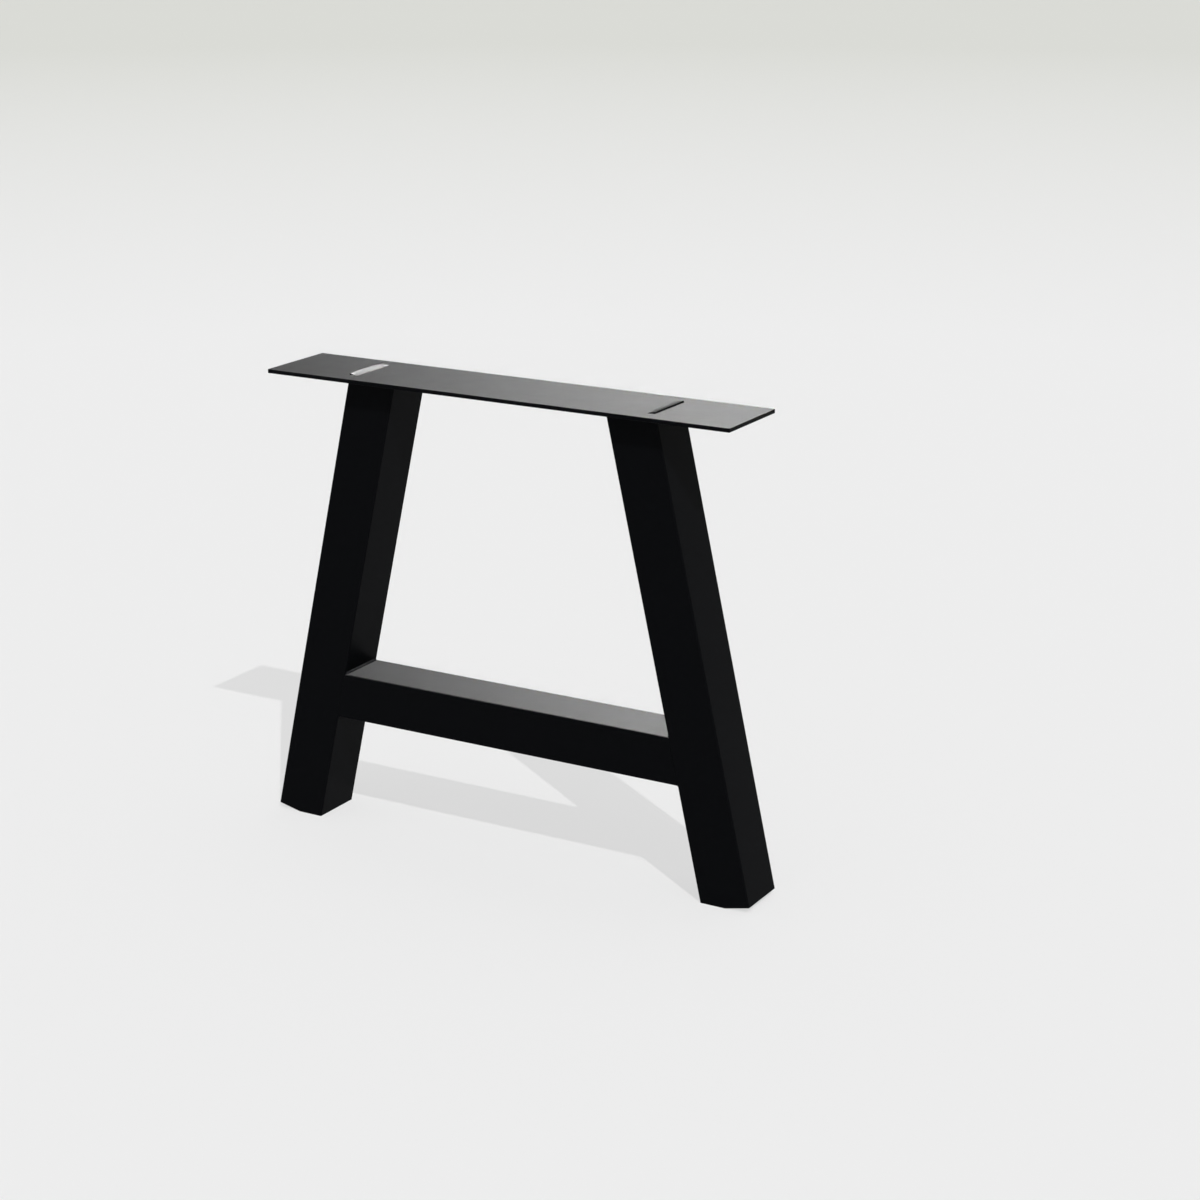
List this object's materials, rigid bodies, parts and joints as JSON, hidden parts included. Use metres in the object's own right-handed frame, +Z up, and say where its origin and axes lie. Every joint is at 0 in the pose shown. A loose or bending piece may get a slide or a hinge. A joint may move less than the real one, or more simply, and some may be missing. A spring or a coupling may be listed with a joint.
{
  "type": "trestle table leg",
  "caption": "Welded steel A-frame trestle: splayed box-section legs joined by a crossbar, under a flat plate that carries one end of a table top.",
  "frame": {"origin": "on the floor, midway between the feet and midway between front and back", "axes": "+Z up, +X along the plate, across the spread of the legs, +Y from the front to the back"},
  "size_m": [0.838, 0.14, 0.7228],
  "materials": {
    "black_powder_coat": "fine satin black powder coat over steel"
  },
  "bodies": {
    "root": {"top_plate": "black_powder_coat", "crossbar": "black_powder_coat", "left_leg": "black_powder_coat", "right_leg": "black_powder_coat", "left_tongue": "black_powder_coat", "right_tongue": "black_powder_coat", "left_foot_cap": "black_powder_coat", "right_foot_cap": "black_powder_coat", "left_head_weld": "black_powder_coat", "right_head_weld": "black_powder_coat", "left_crossbar_weld": "black_powder_coat", "right_crossbar_weld": "black_powder_coat"}
  },
  "joints": []
}
